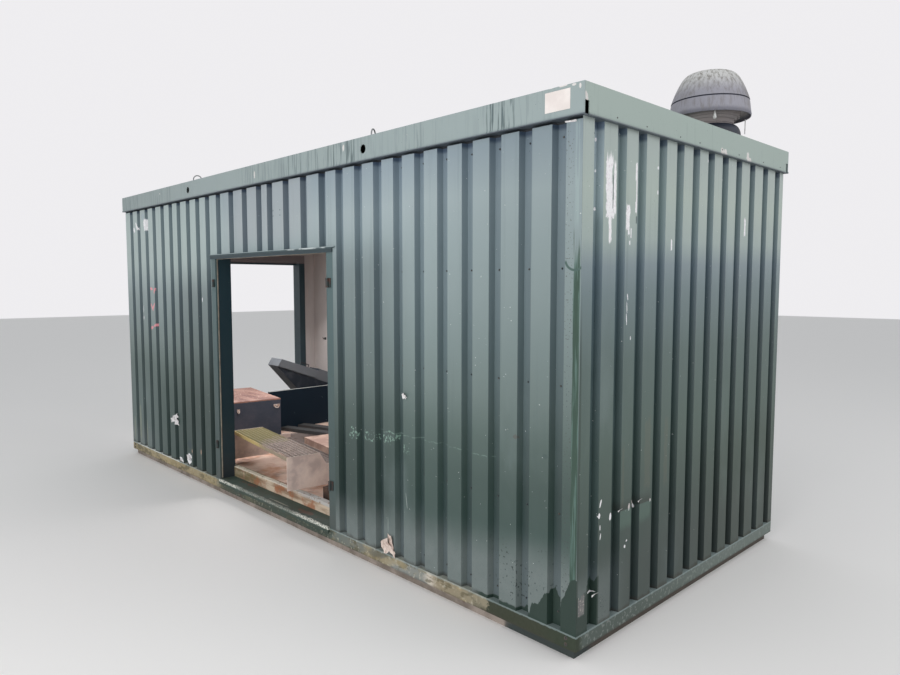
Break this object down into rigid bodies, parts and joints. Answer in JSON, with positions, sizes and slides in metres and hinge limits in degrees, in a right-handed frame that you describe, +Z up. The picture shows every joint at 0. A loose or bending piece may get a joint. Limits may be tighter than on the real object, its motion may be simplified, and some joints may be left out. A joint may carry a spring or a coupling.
{
  "type": "walk-in chemical storage container",
  "caption": "Walk-in steel chemical storage container with ribbed cladding, sump floor, doorways in one long side and one end, and a roof exhaust fan.",
  "frame": {"origin": "on the ground, under the middle of the container", "axes": "+X along the long side towards the end without a doorway, -Y out of the front doorway, +Z up"},
  "size_m": [6.055, 2.49, 3.384],
  "materials": {
    "green_cladding": "weathered satin green coating with vertical dirt streaks",
    "green_frame": "dark green paint, chipped at the edges",
    "fascia_paint": "faded grey-green paint with dark runs",
    "base_steel": "dirty grey-green paint with lichen and rust",
    "cream_lining": "matt cream coating",
    "rusty_steel": "rusted bare steel",
    "grey_steel": "dull dark grey paint with dust",
    "fan_plastic": "weathered grey moulding",
    "galvanised": "dull galvanised steel",
    "wood": "dusty rough timber"
  },
  "bodies": {
    "root": {"back_cladding": "green_cladding", "back_lining": "cream_lining", "base_rails": "base_steel", "ceiling_panel": "cream_lining", "corner_posts": "green_frame", "cross_bearers": "base_steel", "deck_bearers": "rusty_steel", "end_door_head": "green_frame", "end_door_jambs": "green_frame", "end_threshold": "green_frame", "fan_cowl": "fan_plastic", "fan_curb": "galvanised", "fan_neck": "grey_steel", "fascia_back": "fascia_paint", "fascia_front": "fascia_paint", "fascia_left": "fascia_paint", "fascia_right": "fascia_paint", "floor_deck": "rusty_steel", "front_cladding_left": "green_cladding", "front_cladding_over_door": "green_cladding", "front_cladding_right": "green_cladding", "front_door_head": "green_frame", "front_door_jambs": "green_frame", "front_lining_over_door": "cream_lining", "front_lining_sides": "cream_lining", "front_threshold": "green_frame", "hinge_knuckles": "green_frame", "leaning_case": "grey_steel", "left_end_cladding_over_door": "green_cladding", "left_end_cladding_sides": "green_cladding", "left_end_lining_over_door": "cream_lining", "left_end_lining_sides": "cream_lining", "lifting_eyes": "galvanised", "loose_boards": "wood", "loose_panel": "green_frame", "right_end_cladding": "green_cladding", "right_end_lining": "cream_lining", "roof_joists": "galvanised", "roof_sheet": "green_cladding", "skid_beams": "base_steel", "steel_chest": "grey_steel", "step_sides": "galvanised", "step_treads": "galvanised", "sump_floor": "rusty_steel", "sump_kerbs": "rusty_steel"}
  },
  "joints": []
}
